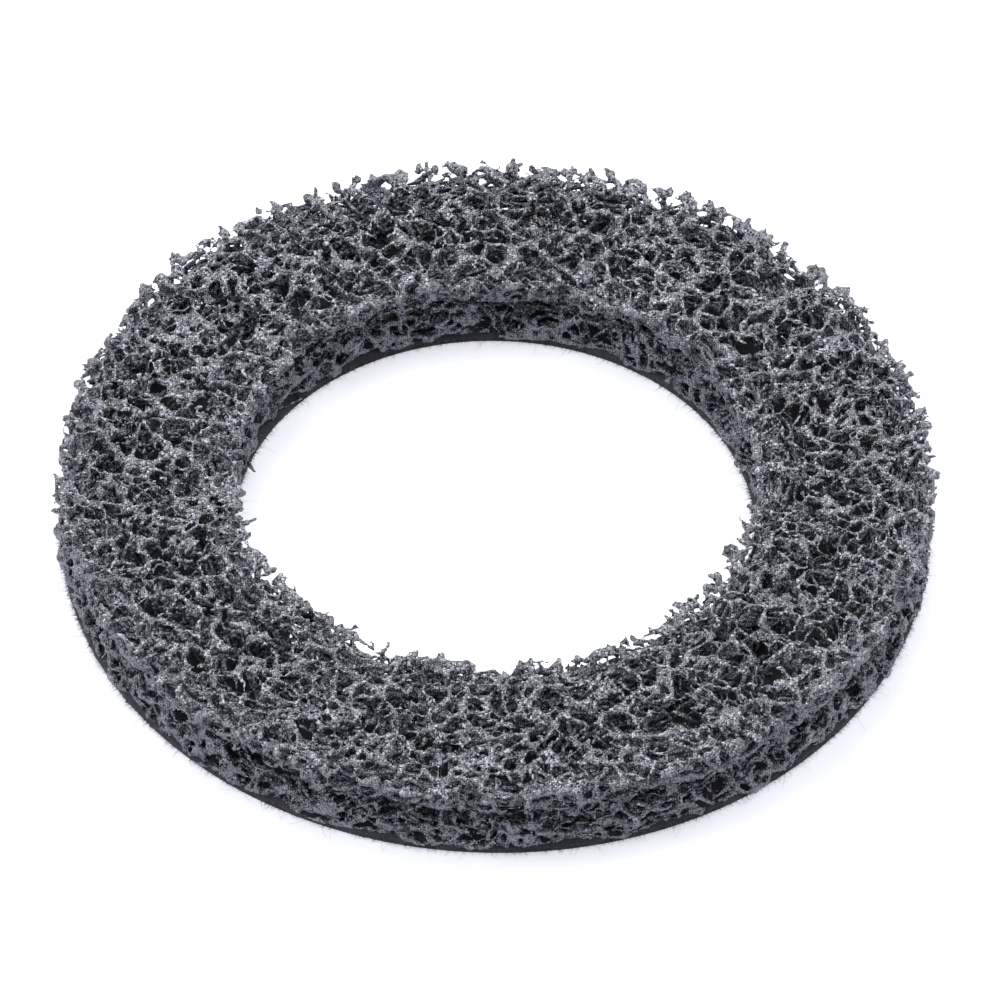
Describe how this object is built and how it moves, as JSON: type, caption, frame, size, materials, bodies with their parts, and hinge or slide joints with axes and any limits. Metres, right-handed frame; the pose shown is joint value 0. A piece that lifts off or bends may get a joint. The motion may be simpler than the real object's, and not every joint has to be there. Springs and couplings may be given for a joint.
{
  "type": "abrasive ring disc",
  "caption": "Flat ring of open, grit-coated strand web bonded to a thin loop fabric; grips a hook-faced pad and strips paint, rust and scale from flat surfaces.",
  "frame": {"origin": "centre of the underside, where the hole's axis meets the loop fabric's lower face", "axes": "+Z along the ring's axis, out of the abrasive face; X and Y are alike"},
  "size_m": [0.15, 0.15, 0.0146],
  "materials": {
    "grit_coat": "dark grey grit and resin on open strands, matt with small bright glints",
    "loop_fabric": "near-black brushed loop fabric, matt"
  },
  "bodies": {
    "root": {"abrasive_web": "grit_coat", "loop_backing": "loop_fabric"}
  },
  "joints": []
}
